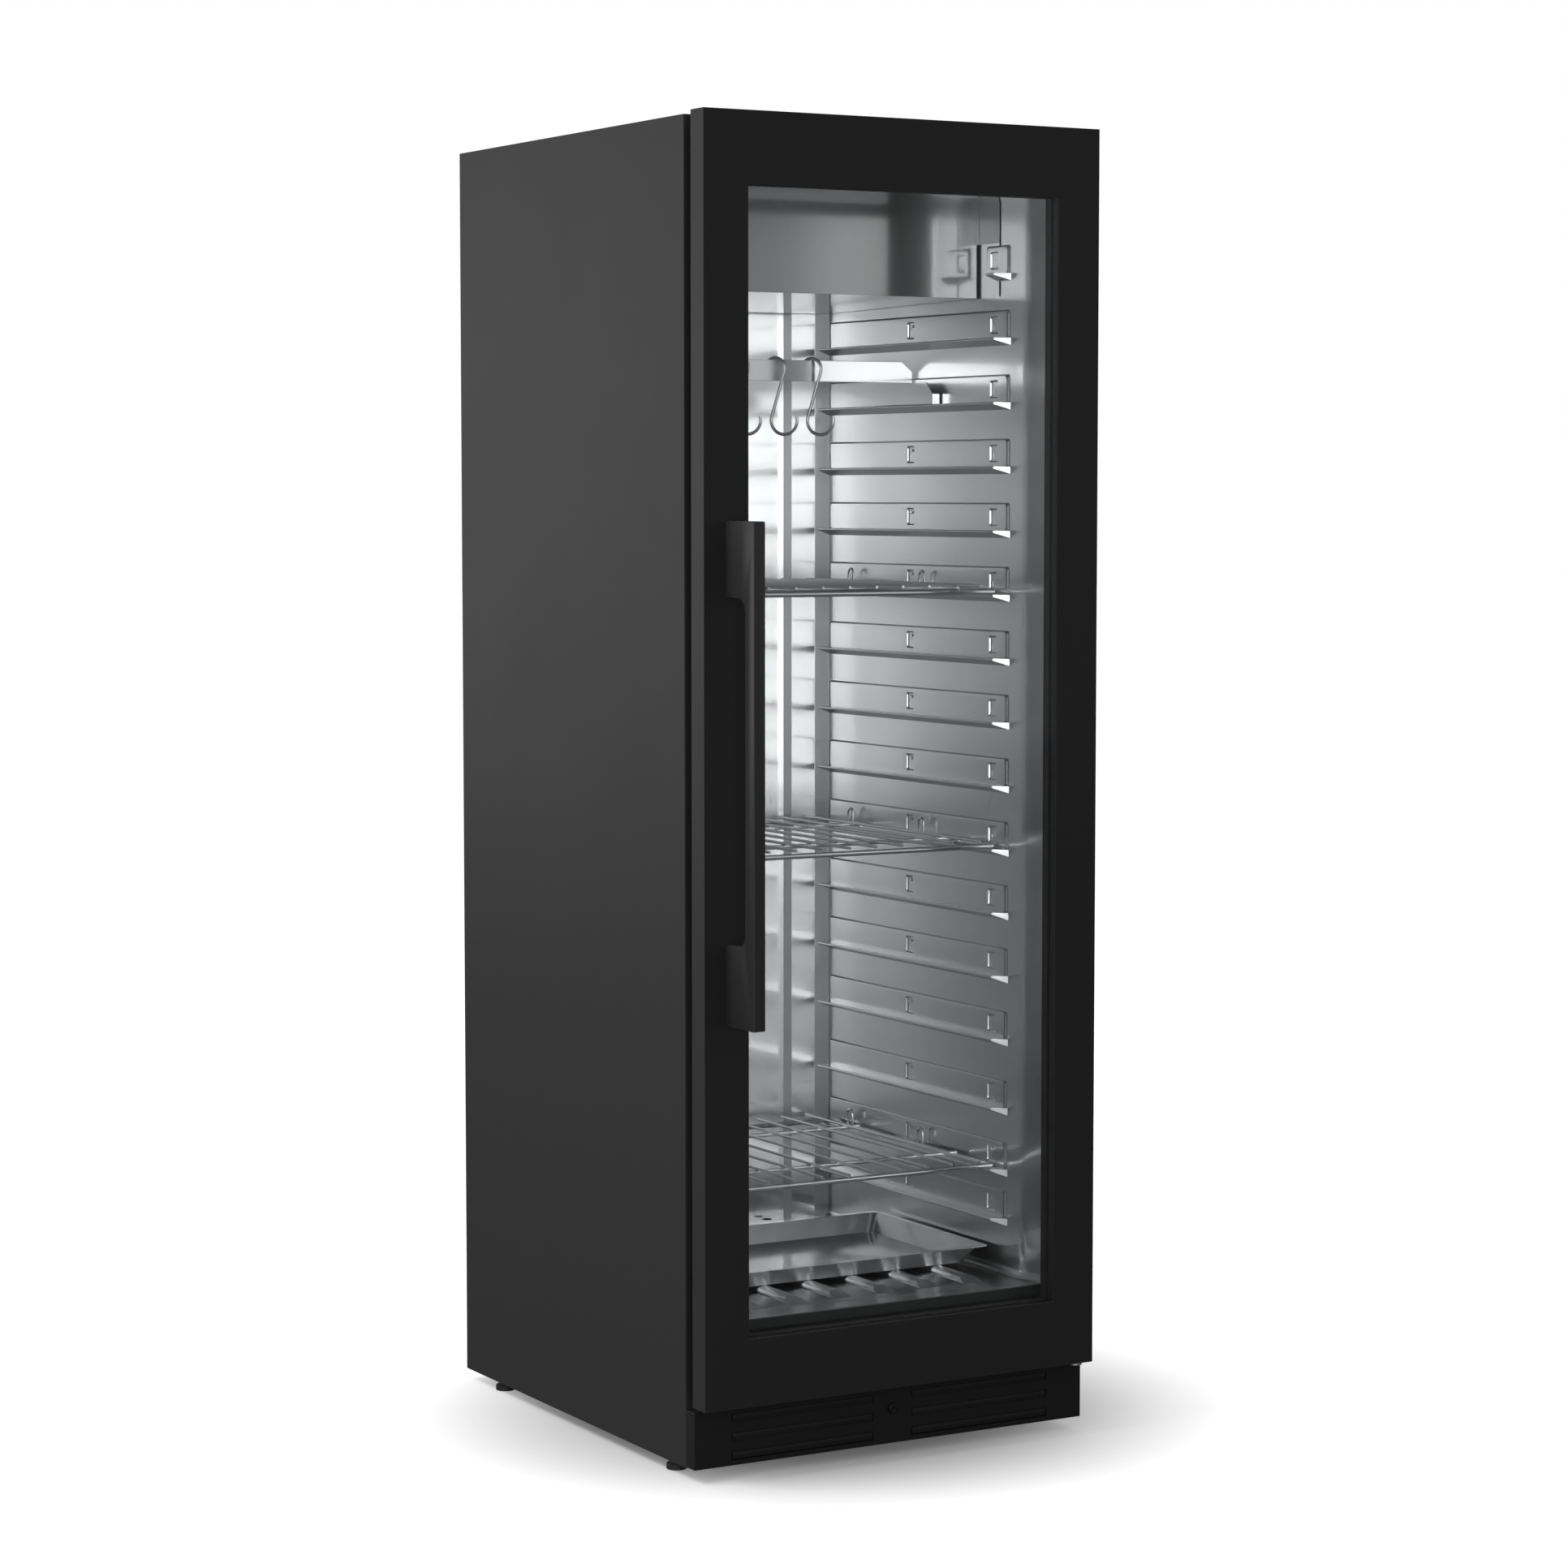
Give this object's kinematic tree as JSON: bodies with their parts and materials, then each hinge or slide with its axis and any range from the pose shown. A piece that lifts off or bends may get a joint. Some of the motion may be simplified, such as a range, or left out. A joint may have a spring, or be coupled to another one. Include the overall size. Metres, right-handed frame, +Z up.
{
  "type": "dry aging cabinet",
  "caption": "Tall black dry aging cabinet with a glazed hinged door, bar handle, stainless cavity with railed walls, wire shelves, hanging bar with S hooks, drip tray and slotted kick plate.",
  "frame": {"origin": "on the ground, in the middle of the whole outline, handle included", "axes": "+Z up, +X to the right seen from the front, the door faces -Y"},
  "size_m": [0.595, 0.7866, 1.745],
  "materials": {
    "black_casing": "black powder coat",
    "zinc_steel": "zinc-plated sheet",
    "dark_frame": "dark coated frame",
    "foam": "rigid insulation foam",
    "stainless": "satin stainless steel",
    "polished_steel": "bright stainless steel",
    "black_door": "satin black",
    "clear_glass": "clear glass",
    "black_plastic": "moulded black",
    "black_rubber": "soft gasket",
    "black_handle": "satin black",
    "white_nylon": "moulded white",
    "aluminium": "finned aluminium",
    "lamp": "white lens",
    "copper": "copper pipe"
  },
  "bodies": {
    "cabinet": {"casing_left": "black_casing", "casing_right": "black_casing", "casing_top": "black_casing", "casing_back": "black_casing", "kick_grille": "black_casing", "compressor": "black_casing", "base_plate": "zinc_steel", "machine_deck": "zinc_steel", "hinge_upper": "zinc_steel", "hinge_lower": "zinc_steel", "evaporator_fan_housing": "zinc_steel", "condenser_fan_housing": "zinc_steel", "front_frame": "dark_frame", "foam_top": "foam", "foam_floor": "foam", "foam_left": "foam", "foam_right": "foam", "foam_back": "foam", "liner_left": "stainless", "liner_right": "stainless", "liner_back": "stainless", "liner_ceiling": "stainless", "liner_floor": "stainless", "evaporator_cover": "polished_steel", "condensate_pan": "black_plastic", "drain_tube": "black_plastic", "control_box": "black_plastic", "power_inlet": "black_plastic", "evaporator": "aluminium", "condenser": "aluminium", "ceiling_light": "lamp", "suction_pipe": "copper", "discharge_pipe": "copper"},
    "door": {"door_skin": "black_door", "door_foam": "foam", "door_liner": "black_plastic", "glass_outer": "clear_glass", "glass_inner": "clear_glass", "glass_spacer": "black_plastic", "door_gasket": "black_rubber", "door_handle": "black_handle", "hinge_bush_upper": "white_nylon", "hinge_bush_lower": "white_nylon"},
    "lock": {"lock_barrel": "black_plastic"},
    "shelf_body_1": {"shelf_1": "polished_steel"},
    "shelf_body_2": {"shelf_2": "polished_steel"},
    "shelf_body_3": {"shelf_3": "polished_steel"},
    "tray_body": {"drip_tray": "stainless"},
    "bar_body": {"hanging_bar": "polished_steel", "bar_bracket_left": "polished_steel", "bar_bracket_right": "polished_steel"},
    "hook_body_1": {"hook_1": "polished_steel"},
    "hook_body_2": {"hook_2": "polished_steel"},
    "hook_body_3": {"hook_3": "polished_steel"},
    "evaporator_fan_body": {"evaporator_fan": "black_plastic"},
    "condenser_fan_body": {"condenser_fan": "black_plastic"},
    "foot_front_left_body": {"foot_front_left": "black_plastic"},
    "foot_front_right_body": {"foot_front_right": "black_plastic"},
    "foot_rear_left_body": {"foot_rear_left": "black_plastic"},
    "foot_rear_right_body": {"foot_rear_right": "black_plastic"}
  },
  "joints": [
    {"name": "door_hinge", "type": "hinge", "parent": "cabinet", "child": "door", "pos_m": [0.281, -0.302, 0.9], "axis": [0, 0, 1], "range_deg": [0, 105]},
    {"name": "lock_turn", "type": "hinge", "parent": "cabinet", "child": "lock", "pos_m": [0, -0.29, 0.0647], "axis": [0, 1, 0], "range_deg": [0, 90]},
    {"name": "shelf_1_slide", "type": "slide", "parent": "cabinet", "child": "shelf_body_1", "axis": [0, -1, 0], "range_m": [0, 0.1]},
    {"name": "shelf_2_slide", "type": "slide", "parent": "cabinet", "child": "shelf_body_2", "axis": [0, -1, 0], "range_m": [0, 0.1]},
    {"name": "shelf_3_slide", "type": "slide", "parent": "cabinet", "child": "shelf_body_3", "axis": [0, -1, 0], "range_m": [0, 0.1]},
    {"name": "tray_slide", "type": "slide", "parent": "cabinet", "child": "tray_body", "axis": [0, -1, 0], "range_m": [0, 0.11]},
    {"name": "bar_slide", "type": "slide", "parent": "cabinet", "child": "bar_body", "axis": [0, 1, 0], "range_m": [-0.1, 0.1]},
    {"name": "hook_1_slide", "type": "slide", "parent": "bar_body", "child": "hook_body_1", "axis": [1, 0, 0], "range_m": [-0.0115, 0.0115]},
    {"name": "hook_2_slide", "type": "slide", "parent": "bar_body", "child": "hook_body_2", "axis": [1, 0, 0], "range_m": [-0.0115, 0.0115]},
    {"name": "hook_3_slide", "type": "slide", "parent": "bar_body", "child": "hook_body_3", "axis": [1, 0, 0], "range_m": [-0.0115, 0.0115]},
    {"name": "evaporator_fan_spin", "type": "hinge", "parent": "cabinet", "child": "evaporator_fan_body", "pos_m": [0, 0.1212, 1.60185], "axis": [0, 1, 0], "continuous": true},
    {"name": "condenser_fan_spin", "type": "hinge", "parent": "cabinet", "child": "condenser_fan_body", "pos_m": [-0.15, -0.1638, 0.09085], "axis": [0, 1, 0], "continuous": true},
    {"name": "foot_front_left_turn", "type": "hinge", "parent": "cabinet", "child": "foot_front_left_body", "pos_m": [-0.276, -0.2018, 0], "axis": [0, 0, 1], "continuous": true},
    {"name": "foot_front_right_turn", "type": "hinge", "parent": "cabinet", "child": "foot_front_right_body", "pos_m": [0.276, -0.2018, 0], "axis": [0, 0, 1], "continuous": true},
    {"name": "foot_rear_left_turn", "type": "hinge", "parent": "cabinet", "child": "foot_rear_left_body", "pos_m": [-0.276, 0.3112, 0], "axis": [0, 0, 1], "continuous": true},
    {"name": "foot_rear_right_turn", "type": "hinge", "parent": "cabinet", "child": "foot_rear_right_body", "pos_m": [0.276, 0.3112, 0], "axis": [0, 0, 1], "continuous": true}
  ]
}
